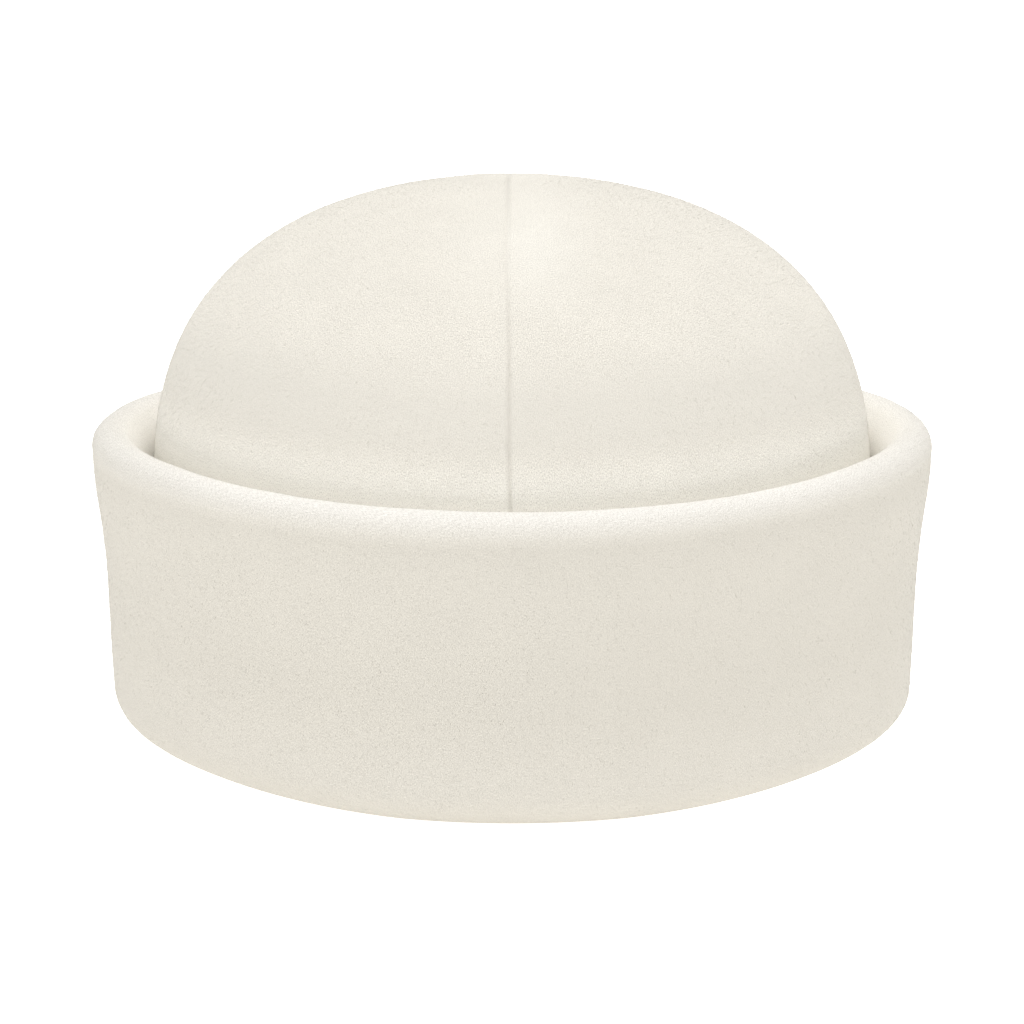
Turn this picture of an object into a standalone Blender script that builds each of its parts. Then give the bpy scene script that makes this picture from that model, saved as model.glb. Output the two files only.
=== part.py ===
"""A docker cap: a round crown of two felt panels, joined by one seam from front to back, in a deep turned-up cuff.

Metres, +Z up. The cap stands on z = 0 with its front towards -Y, and the origin is under its middle.
Every level of the crown and the cuff follows one head oval, so each piece is a section carried round that oval.
"""

import math

import bmesh
import bpy

MM = 0.001

# The head oval, on the crown's outer face at its foot.
CROWN_HALF_WIDTH = 88.5 * MM
DEPTH_BEYOND_WIDTH = 13.0 * MM  # half the depth less half the width
DIAGONAL_EASE = 0.02  # how far the diagonals lie inside a true ellipse, as a share
AROUND = 48  # columns round the oval

# The cap's foot stands on its front and back, and rises a little between them, over the ears.
SIDE_LIFT = 3.3 * MM
SIDE_LIFT_LOSS = 0.023  # how much less the sides rise for each unit of height
STANDING_SHARE = 0.08  # of the squared sideways share, below which the foot lies flat

# The felt and the clearance between two pieces.
FELT = 2.6 * MM
CLEARANCE = 0.3 * MM

# The crown: an upright wall, then a dome with the profile of a superellipse.
CROWN_FOOT = FELT + CLEARANCE
WALL_TOP = 60.0 * MM
CROWN_TOP = 135.3 * MM
WIDTH_POWER = 2.45
RISE_POWER = 2.31
WALL_STEPS = 3
DOME_STEPS = 14

# The crown's seam: a groove outside, and the panels' allowances pressed open inside, down to the hem.
GROOVE_DEPTH = 1.3 * MM
GROOVE_REACH = 3.4 * MM
GROOVE_LOOPS = (0.3, 0.65, 1.0)  # where edges follow the groove, as shares of its reach
ALLOWANCE_WIDTH = 8.0 * MM
ALLOWANCE_EDGE = 0.5 * MM
ALLOWANCE_THICKNESS = 2.0 * MM
ALLOWANCE_FOOT = 17.0 * MM

# The cuff: a band folded over at its rim, whose foot turns in under the crown and up inside it.
RIM_RADIUS = 5.3 * MM
RIM_OUT = 9.7 * MM  # the fold's centre, outside the crown's foot
RIM_HEIGHT = 69.3 * MM
RIM_LEAN = 8  # degrees by which the fold goes on past level on its outer side
LEAF_LEAN = 40  # degrees by which it stops short of level inside, where the inner leaf leans on to it
FOOT_RADIUS = 8.4 * MM
FOOT_OUT = 1.9 * MM  # the foot turn's centre, outside the crown's foot
LEAF_FOOT = 3.4 * MM  # the inner leaf's lower edge
HEM_THICKNESS = 2.3 * MM
HEM_HEIGHT = 13.0 * MM
HEM_CORNER = 1.0 * MM

# The cuff's faces between its foot turn and its rim fold, from the foot up.
CUFF_SECTIONS = [
    # height, outer face, inner face: millimetres, the faces measured outside the crown's foot
    (12.0, 10.5, 0.40),
    (20.0, 10.9, 0.40),
    (30.0, 11.3, 0.40),
    (38.0, 11.7, 0.42),
    (46.0, 12.4, 0.45),
    (54.0, 13.4, 0.45),
    (61.5, 14.6, 0.48),
    (66.0, 14.8, 0.60),
]

# The wool's colours.
CREAM_LEFT = (0.812, 0.775, 0.690)
CREAM_RIGHT = (0.820, 0.782, 0.698)
CREAM_CUFF = (0.790, 0.752, 0.666)


def oval(turn, share=1.0, out=0.0):
    """A point of the head oval, scaled by a share and then moved out; a turn of 0 is at +X and a quarter at +Y."""
    ease = 1 - DIAGONAL_EASE * math.sin(2 * turn) ** 2
    half_width = CROWN_HALF_WIDTH * share + out
    half_depth = (CROWN_HALF_WIDTH + DEPTH_BEYOND_WIDTH) * share + out
    return half_width * ease * math.cos(turn), half_depth * ease * math.sin(turn)


def lift(turn, height, share=1.0):
    """How far a level rises at a turn, over what it has at the front and back."""
    sideways = max(0.0, math.cos(turn) ** 2 - STANDING_SHARE) / (1 - STANDING_SHARE)
    return sideways * share * max(0.0, SIDE_LIFT - SIDE_LIFT_LOSS * height)


def turned(profile, closed):
    """A full turn of a profile, whose points are (radius, height), about the Z axis, with its doubles merged."""
    bm = bmesh.new()
    points = [bm.verts.new((radius, 0, height)) for radius, height in profile]
    pairs = list(zip(points, points[1:]))
    if closed:
        pairs.append((points[-1], points[0]))
    edges = [bm.edges.new(pair) for pair in pairs]
    bmesh.ops.spin(
        bm, geom=points + edges, cent=(0, 0, 0), axis=(0, 0, 1), angle=math.tau, steps=AROUND, use_merge=True
    )
    bmesh.ops.remove_doubles(bm, verts=bm.verts, dist=0.01 * MM)
    return bm


def dome_profile():
    """The crown's outer face from its foot to its top, as (share of the oval, height)."""
    wall_rise = WALL_TOP - CROWN_FOOT
    profile = [(1.0, CROWN_FOOT + wall_rise * step / WALL_STEPS) for step in range(WALL_STEPS)]
    for step in range(DOME_STEPS):
        angle = math.pi / 2 * step / DOME_STEPS
        share = math.cos(angle) ** (2 / WIDTH_POWER)
        rise = math.sin(angle) ** (2 / RISE_POWER)
        profile.append((share, WALL_TOP + (CROWN_TOP - WALL_TOP) * rise))
    profile.append((0.0, CROWN_TOP))
    return profile


def crown_skin():
    """The whole outer face of the crown, still without its seam."""
    bm = turned(dome_profile(), closed=False)
    for vert in bm.verts:
        share = math.hypot(vert.co.x, vert.co.y)
        turn = math.atan2(vert.co.y, vert.co.x)
        x, y = oval(turn, share)
        vert.co = (x, y, vert.co.z + lift(turn, vert.co.z, share))
    bmesh.ops.recalc_face_normals(bm, faces=bm.faces)
    return bm


def eased(value):
    """A smooth step from 0 to 1."""
    value = min(max(value, 0.0), 1.0)
    return value * value * (3 - 2 * value)


def groove(place):
    """How far the outer face lies under the plain dome, near the seam."""
    return GROOVE_DEPTH * (1 - eased(place.x / GROOVE_REACH)) ** 1.5


def thickness(place):
    """The wall, thicker where the seam allowance lies on its inner face."""
    beside_seam = place.x < ALLOWANCE_WIDTH + ALLOWANCE_EDGE / 2
    above_hem = place.z > ALLOWANCE_FOOT + ALLOWANCE_EDGE / 2
    return FELT + (ALLOWANCE_THICKNESS if beside_seam and above_hem else 0.0)


def cut(bm, place, normal, clear=False):
    """A loop of edges where a plane crosses the mesh; with clear, what lies behind the plane goes."""
    bmesh.ops.bisect_plane(
        bm,
        geom=bm.verts[:] + bm.edges[:] + bm.faces[:],
        dist=0.02 * MM,
        plane_co=place,
        plane_no=normal,
        clear_inner=clear,
    )


def inward_directions(bm, seam):
    """The way from the outer face to the inner face at each vertex, level at the foot and square to the seam."""
    bm.normal_update()
    directions = {}
    for vert in bm.verts:
        direction = -vert.normal
        if vert.co.x < seam + 0.05 * MM:
            direction.x = 0
        if vert.is_boundary and vert.co.z < ALLOWANCE_FOOT / 2:
            direction.z = 0
        directions[vert.co.to_tuple(6)] = direction.normalized()
    return directions


def crown_panel(side):
    """One panel of the crown: side is 1 for the one at +X and -1 for the other."""
    seam = CLEARANCE / 2
    bm = crown_skin()
    cut(bm, (seam, 0, 0), (1, 0, 0), clear=True)
    in_groove = [share * GROOVE_REACH for share in GROOVE_LOOPS]
    for reach in (*in_groove, ALLOWANCE_WIDTH, ALLOWANCE_WIDTH + ALLOWANCE_EDGE):
        cut(bm, (reach, 0, 0), (1, 0, 0))
    for level in (ALLOWANCE_FOOT, ALLOWANCE_FOOT + ALLOWANCE_EDGE):
        cut(bm, (0, 0, level), (0, 0, 1))
    directions = inward_directions(bm, seam)
    outer = bm.verts[:]
    extruded = bmesh.ops.extrude_face_region(bm, geom=bm.faces[:], use_keep_orig=True)["geom"]
    inner = [part for part in extruded if isinstance(part, bmesh.types.BMVert)]
    for vert in inner:
        place = vert.co.copy()
        vert.co += directions[place.to_tuple(6)] * thickness(place)
    for vert in outer:
        place = vert.co.copy()
        vert.co += directions[place.to_tuple(6)] * groove(place)
    bmesh.ops.scale(bm, vec=(side, 1, 1), verts=bm.verts)
    bmesh.ops.recalc_face_normals(bm, faces=bm.faces)
    return bm


def arc(centre, radius, start, end, steps):
    """Points of an arc, with both its ends, as (out, height); angles are in degrees from the outward side."""
    points = []
    for step in range(steps + 1):
        angle = math.radians(start + (end - start) * step / steps)
        points.append((centre[0] + radius * math.cos(angle), centre[1] + radius * math.sin(angle)))
    return points


def cuff_outer_face():
    """From the flat foot, out and up to the rim, over its fold and down the inner leaf."""
    foot_turn = arc((FOOT_OUT, FOOT_RADIUS), FOOT_RADIUS, -90, 0, 5)
    wall = [(outer * MM, height * MM) for height, outer, _ in CUFF_SECTIONS]
    rim = arc((RIM_OUT, RIM_HEIGHT), RIM_RADIUS, -RIM_LEAN, 180 - LEAF_LEAN, 10)
    inner_leaf = [(inner * MM, height * MM) for height, _, inner in reversed(CUFF_SECTIONS)]
    return foot_turn + wall + rim + inner_leaf


def cuff_slit():
    """The inside of the fold: up the inner leaf's back, over under the rim and down the outer leaf's back."""
    up = [(inner * MM + FELT, height * MM) for height, _, inner in CUFF_SECTIONS]
    under_rim = arc((RIM_OUT, RIM_HEIGHT), RIM_RADIUS - FELT, 180 - LEAF_LEAN, -RIM_LEAN, 6)
    down = [(outer * MM - FELT, height * MM) for height, outer, _ in reversed(CUFF_SECTIONS)]
    foot_turn = arc((FOOT_OUT, FOOT_RADIUS), FOOT_RADIUS - FELT, 0, -90, 4)
    return up + under_rim + down + foot_turn


def cuff_hem():
    """From under the crown's foot: the channel it stands in, up the hem inside the crown, over and down."""
    crown_inner = -FELT - CLEARANCE
    hem_inner = crown_inner - HEM_THICKNESS
    hem_top = arc((crown_inner - HEM_THICKNESS / 2, HEM_HEIGHT), HEM_THICKNESS / 2, 0, 180, 4)
    corner = arc((hem_inner + HEM_CORNER, HEM_CORNER), HEM_CORNER, 180, 270, 2)
    return [(crown_inner, FELT)] + hem_top + corner


def cuff():
    """The turned-up band as one folded sheet of felt, open between its two leaves at the inner leaf's foot."""
    leaf_edge = [(CLEARANCE, LEAF_FOOT), (CLEARANCE + FELT, LEAF_FOOT)]
    section = cuff_outer_face() + leaf_edge + cuff_slit() + cuff_hem()
    bm = turned([(CROWN_HALF_WIDTH + out, height) for out, height in section], closed=True)
    for vert in bm.verts:
        out = math.hypot(vert.co.x, vert.co.y) - CROWN_HALF_WIDTH
        turn = math.atan2(vert.co.y, vert.co.x)
        x, y = oval(turn, out=out)
        vert.co = (x, y, vert.co.z + lift(turn, vert.co.z))
    bmesh.ops.recalc_face_normals(bm, faces=bm.faces)
    return bm


def wool(name, colour):
    """Brushed wool felt: matt, with a little sheen."""
    material = bpy.data.materials.new(name)
    material.use_nodes = True
    shader = material.node_tree.nodes["Principled BSDF"]
    shader.inputs["Base Color"].default_value = (*colour, 1.0)
    shader.inputs["Roughness"].default_value = 0.95
    shader.inputs["Metallic"].default_value = 0.0
    shader.inputs["Sheen Weight"].default_value = 0.3
    return material


def add_piece(name, bm, material):
    """A finished mesh as an object of its own, shaded smooth but for its turned edges."""
    mesh = bpy.data.meshes.new(name)
    bm.to_mesh(mesh)
    bm.free()
    mesh.shade_smooth()
    mesh.set_sharp_from_angle(angle=math.radians(50))
    mesh.materials.append(material)
    piece = bpy.data.objects.new(name, mesh)
    bpy.context.scene.collection.objects.link(piece)


def main():
    for old in list(bpy.data.objects):
        bpy.data.objects.remove(old, do_unlink=True)
    add_piece("crown_left", crown_panel(-1), wool("wool_crown_left", CREAM_LEFT))
    add_piece("crown_right", crown_panel(1), wool("wool_crown_right", CREAM_RIGHT))
    add_piece("cuff", cuff(), wool("wool_cuff", CREAM_CUFF))


main()
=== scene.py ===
"""A docker cap in brushed cream wool: a two-panel crown in a deep turned-up cuff.

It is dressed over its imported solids, in metres with +Z up. The cap stands on z = 0 with its front towards -Y,
and the origin is under its middle.
"""

import math

import bmesh
import bpy
import numpy as np
from bpy.props import FloatProperty, FloatVectorProperty, IntProperty, PointerProperty
from mathutils import Matrix, Vector, noise
from mathutils.bvhtree import BVHTree


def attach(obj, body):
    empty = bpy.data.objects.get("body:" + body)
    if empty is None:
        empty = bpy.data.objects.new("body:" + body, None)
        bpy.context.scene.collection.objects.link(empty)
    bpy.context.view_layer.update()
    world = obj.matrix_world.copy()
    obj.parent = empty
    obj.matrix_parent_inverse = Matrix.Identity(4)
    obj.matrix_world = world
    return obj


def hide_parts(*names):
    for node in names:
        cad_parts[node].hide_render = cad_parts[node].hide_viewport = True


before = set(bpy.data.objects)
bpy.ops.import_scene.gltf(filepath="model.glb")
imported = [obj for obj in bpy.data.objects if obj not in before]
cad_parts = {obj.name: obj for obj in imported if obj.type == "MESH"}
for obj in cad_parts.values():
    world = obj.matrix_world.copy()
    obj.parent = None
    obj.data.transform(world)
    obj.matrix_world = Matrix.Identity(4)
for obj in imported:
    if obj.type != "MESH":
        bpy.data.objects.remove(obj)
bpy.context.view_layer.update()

bl_info = {
    "name": "Docker Cap",
    "version": (1, 0, 0),
    "blender": (4, 5, 0),
    "location": "3D View > Sidebar > Cap",
    "description": "Makes a docker cap of brushed wool felt, its nap, its stitches and a pale studio",
    "category": "Add Mesh",
}

MM = 0.001

# The cap's plan and its foot, shared by the crown and the cuff.
DIAGONAL_EASE = 0.02  # how far the oval's diagonals lie inside a true ellipse, as a share
SIDE_LIFT = 3.3 * MM
SIDE_LIFT_LOSS = 0.023  # how much less the sides rise for each unit of height
STANDING_SHARE = 0.08  # of the squared sideways share, below which the foot lies flat
COLUMNS = 288
CUT_REACH = 0.02 * MM  # how near a plane a vertex counts as lying on it

# The crown's wall and dome.
CLEARANCE = 0.3 * MM
WIDTH_POWER = 2.45
RISE_POWER = 2.31
WALL_ROWS = 28
DOME_ROWS = 76

# The crown's seam: loops of edges beside it, and the allowances pressed open inside.
SEAM_GAP = 0.02 * MM
SEAM_ROLL_POWER = 1.3  # how sharply the felt rolls in at the seam
SEAM_SHADE = 0.62 * MM  # how far from the seam its shade reaches
WANDER_REACH = 22.0 * MM  # how far from the seam its wandering carries the felt along
PUFF_ASIDE = 6.5 * MM  # where the felt stands proudest beside the seam
PUFF_SPREAD = 4.5 * MM
PATCH_ASIDE = 6.0 * MM  # where the painted highlight beside the seam is strongest
PATCH_SPREAD = 10.0 * MM
PATCH_HEIGHT = 127.0 * MM
PATCH_TALL = 9.0 * MM
PATCH_RIGHT = 0.30  # how strong the painted highlight is on the right panel
PATCH_LEFT = 0.12
SEAM_LOOPS = (0.3, 0.6, 0.9, 1.2, 1.6, 2.2, 3.2, 4.5, 6.0)  # millimetres from the seam
ALLOWANCE_WIDTH = 8.0 * MM
ALLOWANCE_EDGE = 0.5 * MM
ALLOWANCE_THICKNESS = 2.0 * MM
ALLOWANCE_FOOT = 17.0 * MM

# The cuff's section.
RIM_OUT = 9.7 * MM  # the fold's centre, outside the crown's foot
RIM_HEIGHT = 69.3 * MM
RIM_LEAN = 8  # degrees by which the fold goes on past level on its outer side
LEAF_LEAN = 40  # degrees by which it stops short of level inside, where the inner leaf leans on to it
FOOT_RADIUS = 8.4 * MM
FOOT_OUT = 1.9 * MM
LEAF_FOOT = 3.4 * MM
HEM_THICKNESS = 2.3 * MM
HEM_HEIGHT = 13.0 * MM
HEM_CORNER = 1.0 * MM
SECTION_STEP = 2.0 * MM
SECTION_SMOOTHING = 5.0 * MM  # how far to both sides a section's corner is eased
JOIN_LOOPS = (0.3, 0.7, 1.2, 1.8, 2.6)  # millimetres from the join at the centre back
JOIN_REACH = 0.9 * MM
JOIN_DEPTH = 0.6 * MM

# The cuff's faces between its foot turn and its rim fold, from the foot up.
CUFF_SECTIONS = [
    # height, outer face, inner face: millimetres, the faces measured outside the crown's foot
    (12.0, 10.5, 0.40),
    (20.0, 10.9, 0.40),
    (30.0, 11.3, 0.40),
    (38.0, 11.7, 0.42),
    (46.0, 12.4, 0.45),
    (54.0, 13.4, 0.45),
    (61.5, 14.6, 0.48),
    (66.0, 14.8, 0.60),
]

# Where the seam wanders off the middle, at the front and the back.
SEAM_WANDER = [
    # height, shift: millimetres
    (0.0, -0.4),
    (74.0, -0.4),
    (84.0, -0.75),
    (112.0, -0.75),
    (125.0, -1.0),
    (140.0, -0.8),
]

# How deep the seam is drawn in, and how much painted shade darkens it: loose on the upper dome, where the felt
# is steamed flat.
SEAM_LOOK = [
    # height: millimetres, share of the seam's full depth, share of its full shade
    (60.0, 1.0, 1.0),
    (100.0, 1.0, 1.0),
    (109.0, 0.8, 0.9),
    (117.0, 0.6, 0.7),
    (123.0, 0.3, 0.3),
    (127.0, 0.15, 0.15),
    (131.0, 0.2, 0.25),
    (133.5, 0.3, 0.7),
    (136.0, 0.4, 1.0),
]

# Painted shade: how much darker the crown's wool is painted where less light reaches it, most of all just above
# the cuff.
CROWN_PAINTED_SHADE = [
    # height: millimetres, share of the full painted shade
    (80.0, 0.0),
    (88.0, 0.9),
    (96.0, 1.0),
    (106.0, 0.2),
    (112.0, 0.0),
]

# The soft waves that handling leaves: their lengths, and the narrow ones as shares of the broad ones.
CROWN_WAVE = 42.0 * MM
CUFF_WAVE = 36.0 * MM
NARROW_LENGTH = 0.27
NARROW_HEIGHT = 0.35
NARROW_SHIFT = Vector((7, 3, 5))

# Where nap shows, in millimetres of height.
CROWN_NAP_FROM = 42.0
LEAF_NAP_FROM = 46.0
FOOT_NAP_FROM = 1.4
NAP_FADE = 2.5

# Painted light, as paler wool: a painted fill on the crown under the cuff's shelter and on the cuff's inner
# leaf, lightening the shade in the gap; a painted highlight on the cuff's fold; a painted glow from the floor a
# little above the foot. Painted shade below the foot's turn.
GAP_LIGHT_TOP = 86.0 * MM
GAP_LIGHT_FADE = 16.0 * MM
CREST_SHARE = 0.70  # how strong the fold's painted highlight is on its crest
FOLD_FADE = 7.2 * MM  # how far below its crest the fold's painted highlight reaches outside
LEAF_FADE = 4.0 * MM  # how far below its crest the inner leaf reaches its full painted fill light
FOLD_POWER = 1.2
CREST_SIDE_SHARE = 0.70  # of that painted highlight, what the fold keeps at the cap's sides
CREST_FRONT = 1.8  # times the squared forward share, up to which the fold's painted highlight grows
FOOT_FADE = 32.0 * MM
FOOT_SHARE = 0.09  # how strong the painted glow from the floor is a little above the cuff's foot
FOOT_TURN = 10.0 * MM  # below this the foot turns in, and painted shade darkens it where it turns under towards the floor
FOOT_PAINTED_SHADE = 0.55

# The texture's map on the crown, in sectors so that it isn't sheared, and the steps between their places.
CROWN_SECTOR = math.radians(18)
SECTOR_STEP = 0.05

# The nap's fibres: shares of what the settings give, and slopes.
FIBRE_LENGTHS = (0.6, 1.4)
FIBRE_WIDTHS = (0.7, 1.3)
FIBRE_RISES = (0.35, 1.65)
FIBRE_STRAY = 0.45
FIBRE_SWIRL = 1.2
FIBRE_ROOT = 0.08 * MM  # how deep a fibre is rooted
FLOOR_ROOM = 0.1 * MM  # how far above the floor the nap keeps

# The stitches inside the cap.
HEM_STITCH_HEIGHT = 9.5 * MM
HEM_STITCH_STEP = 4.6 * MM
HEM_STITCH = (3.2 * MM, 0.55 * MM)  # length and thickness
ALLOWANCE_STITCH_ASIDE = 5.5 * MM
ALLOWANCE_STITCH_STEP = 5.2 * MM
ALLOWANCE_STITCH = (3.4 * MM, 0.5 * MM)

LAMP_AIM = Vector((0, 0, 0.06))


class CapSizes(bpy.types.PropertyGroup):
    """The felt body of the cap."""

    half_width: FloatProperty(
        name="Half width", description="Half the crown's width at its foot",
        default=88.5 * MM, unit="LENGTH", subtype="DISTANCE", precision=4)
    half_depth: FloatProperty(
        name="Half depth", description="Half the crown's depth at its foot, from front to back",
        default=101.5 * MM, unit="LENGTH", subtype="DISTANCE", precision=4)
    wall_top: FloatProperty(
        name="Wall top", description="Height at which the crown's wall turns into its dome",
        default=60.0 * MM, unit="LENGTH", subtype="DISTANCE", precision=4)
    crown_top: FloatProperty(
        name="Crown top", description="Height of the top of the crown",
        default=135.3 * MM, unit="LENGTH", subtype="DISTANCE", precision=4)
    felt: FloatProperty(
        name="Felt", description="Thickness of the wool felt",
        default=2.6 * MM, unit="LENGTH", subtype="DISTANCE", precision=4)
    rim_radius: FloatProperty(
        name="Rim radius", description="Radius of the fold along the top of the cuff",
        default=5.3 * MM, unit="LENGTH", subtype="DISTANCE", precision=4)
    seam_depth: FloatProperty(
        name="Seam depth", description="How deep the crown's seam lies",
        default=0.35 * MM, unit="LENGTH", subtype="DISTANCE", precision=4)
    seam_reach: FloatProperty(
        name="Seam reach", description="How far from the seam the felt starts to roll in",
        default=1.0 * MM, unit="LENGTH", subtype="DISTANCE", precision=4)
    seam_puff: FloatProperty(
        name="Seam puff", description="How far the felt stands proud on both sides of the seam",
        default=0.15 * MM, unit="LENGTH", subtype="DISTANCE", precision=5)
    unevenness: FloatProperty(
        name="Unevenness", description="Height of the soft waves that handling leaves in the felt",
        default=0.3 * MM, unit="LENGTH", subtype="DISTANCE", precision=5)


class WoolFinish(bpy.types.PropertyGroup):
    """The wool's colours and its nap."""

    crown_colour: FloatVectorProperty(
        name="Crown", description="Colour of the crown's wool",
        default=(0.744, 0.711, 0.639), subtype="COLOR", size=3, min=0, max=1)
    # Painted shade: the cuff's wool is the crown's wool painted darker, for the less light that its upright
    # face gets.
    cuff_shaded_colour: FloatVectorProperty(
        name="Cuff", description="Colour of the cuff's wool",
        default=(0.577, 0.548, 0.486), subtype="COLOR", size=3, min=0, max=1)
    # Painted light on the crown: the colour of its painted fill under the cuff's shelter, which lightens the
    # shade in the gap, and of its painted highlight beside the seam.
    crown_painted_light_colour: FloatVectorProperty(
        name="Sheltered", description="Colour of the crown's wool where the cuff has sheltered it from wear",
        default=(0.955, 0.932, 0.860), subtype="COLOR", size=3, min=0, max=1)
    # Painted light on the cuff: the colour of the fold's painted highlight, the inner leaf's painted fill and
    # the painted glow from the floor above the foot.
    cuff_painted_light_colour: FloatVectorProperty(
        name="Fold", description="Colour of the brushed wool along the cuff's fold",
        default=(0.985, 0.958, 0.905), subtype="COLOR", size=3, min=0, max=1)
    crown_mottle: FloatProperty(
        name="Crown mottle", description="How much the colour of the crown's wool varies from tip to tip",
        default=0.15, subtype="FACTOR", min=0, max=1)
    cuff_mottle: FloatProperty(
        name="Cuff mottle", description="How much the colour of the cuff's wool varies from tip to tip",
        default=0.076, subtype="FACTOR", min=0, max=1)
    sheen: FloatProperty(
        name="Sheen", description="How much light the wool's fibres catch at a low angle",
        default=0.06, subtype="FACTOR", min=0, max=1)
    nap_length: FloatProperty(
        name="Nap length", description="Length of the nap's fibres",
        default=0.75 * MM, unit="LENGTH", subtype="DISTANCE", precision=5)
    nap_radius: FloatProperty(
        name="Nap radius", description="Radius of a nap fibre at its root",
        default=0.045 * MM, unit="LENGTH", subtype="DISTANCE", precision=5)
    nap_rise: FloatProperty(
        name="Nap rise", description="Angle at which the nap stands off the felt",
        default=math.radians(11), unit="ROTATION", subtype="ANGLE")
    nap_room: FloatProperty(
        name="Nap room", description="How far the felt lies under the cap's outline, for the nap",
        default=0.12 * MM, unit="LENGTH", subtype="DISTANCE", precision=5)
    crown_fibres: IntProperty(
        name="Crown fibres", description="Nap fibres on each panel of the crown",
        default=55000, min=0, max=60000)
    cuff_fibres: IntProperty(
        name="Cuff fibres", description="Nap fibres on each half of the cuff",
        default=55000, min=0, max=60000)


class StudioLook(bpy.types.PropertyGroup):
    """The floor, the lights and the camera."""

    surround: FloatProperty(
        name="Surround", description="Strength of the even light from all sides", default=0.52, min=0)
    floor_glow: FloatProperty(
        name="Floor glow", description="How much light the lit floor gives off by itself",
        default=0.69, min=0)
    overhead_power: FloatProperty(
        name="Overhead", description="Power of the large soft lamp overhead",
        default=12.1, unit="POWER", min=0)
    right_power: FloatProperty(
        name="Right", description="Power of the soft lamp at the upper right",
        default=3.7, unit="POWER", min=0)
    left_power: FloatProperty(
        name="Left", description="Power of the soft lamp low at the left",
        default=2.4, unit="POWER", min=0)
    front_power: FloatProperty(
        name="Front", description="Power of the soft lamps in front and behind",
        default=4.8, unit="POWER", min=0)
    focal_length: FloatProperty(
        name="Focal length", description="Focal length of the camera",
        default=199.0, unit="CAMERA")
    aim_height: FloatProperty(
        name="Aim height", description="Height of the point that the camera looks at",
        default=53.15 * MM, unit="LENGTH", subtype="DISTANCE", precision=4)
    distance: FloatProperty(
        name="Distance", description="How far the camera is from the point that it looks at",
        default=1.4, unit="LENGTH", subtype="DISTANCE")
    elevation: FloatProperty(
        name="Elevation", description="Angle at which the camera looks down",
        default=math.radians(10.92), unit="ROTATION", subtype="ANGLE")


def eased(value):
    """A smooth step from 0 to 1."""
    value = min(max(value, 0.0), 1.0)
    return value * value * (3 - 2 * value)


def bell(value):
    """A smooth hump of height 1 about 0."""
    return math.exp(-value * value)


def oval(turn, sizes, share=1.0, out=0.0):
    """A point of the head oval, scaled by a share and then moved out; a turn of 0 is at +X."""
    ease = 1 - DIAGONAL_EASE * math.sin(2 * turn) ** 2
    half_width = sizes.half_width * share + out
    half_depth = sizes.half_depth * share + out
    return half_width * ease * math.cos(turn), half_depth * ease * math.sin(turn)


def lift(turn, height, share=1.0):
    """How far a level rises at a turn, over what it has at the front and back."""
    sideways = max(0.0, math.cos(turn) ** 2 - STANDING_SHARE) / (1 - STANDING_SHARE)
    return sideways * share * max(0.0, SIDE_LIFT - SIDE_LIFT_LOSS * height)


def tabled(table, height, column=1):
    """A value between the rows of a table whose first column is a height in millimetres."""
    columns = list(zip(*table))
    return float(np.interp(height / MM, columns[0], columns[column]))


def waves(place, height, length):
    """Soft unevenness at a place, at two lengths."""
    broad = noise.noise(place / length)
    narrow = noise.noise(place / (length * NARROW_LENGTH) + NARROW_SHIFT)
    return height * (broad + NARROW_HEIGHT * narrow)


def turned(profile, closed, marks):
    """A profile turned fully about the Z axis; marks holds, for each layer, its values along the profile."""
    bm = bmesh.new()
    layers = {name: bm.verts.layers.float.new(name) for name in marks}
    rings = []
    for index, (radius, height) in enumerate(profile):
        ring = []
        for column in range(COLUMNS if radius > 0 else 1):
            turn = math.tau * column / COLUMNS
            vert = bm.verts.new((radius * math.cos(turn), radius * math.sin(turn), height))
            for name, values in marks.items():
                vert[layers[name]] = values[index]
            ring.append(vert)
        rings.append(ring)
    pairs = list(zip(rings, rings[1:]))
    if closed:
        pairs.append((rings[-1], rings[0]))
    for here, there in pairs:
        for column in range(COLUMNS):
            after = (column + 1) % COLUMNS
            above = (there[after], there[column]) if len(there) > 1 else there
            bm.faces.new((here[column], here[after], *above))
    return bm


def put_in_order(bm):
    """Orders the edges and faces by their vertices, so that each run gives the same mesh."""
    bm.verts.index_update()

    def key(part):
        number = 0
        for index in sorted(vert.index for vert in part.verts)[:3]:
            number = number * len(bm.verts) + index
        return number

    bm.edges.sort(key=key)
    bm.faces.sort(key=key)


def lengths_along(profile):
    """How far each point of a profile is from its first one."""
    total, lengths = 0.0, [0.0]
    for here, there in zip(profile, profile[1:]):
        total += math.dist(here, there)
        lengths.append(total)
    return lengths


def shown_above(height, start):
    """1 where nap shows, above a start in millimetres, and 0 below it."""
    return eased((height / MM - start) / NAP_FADE)


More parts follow.
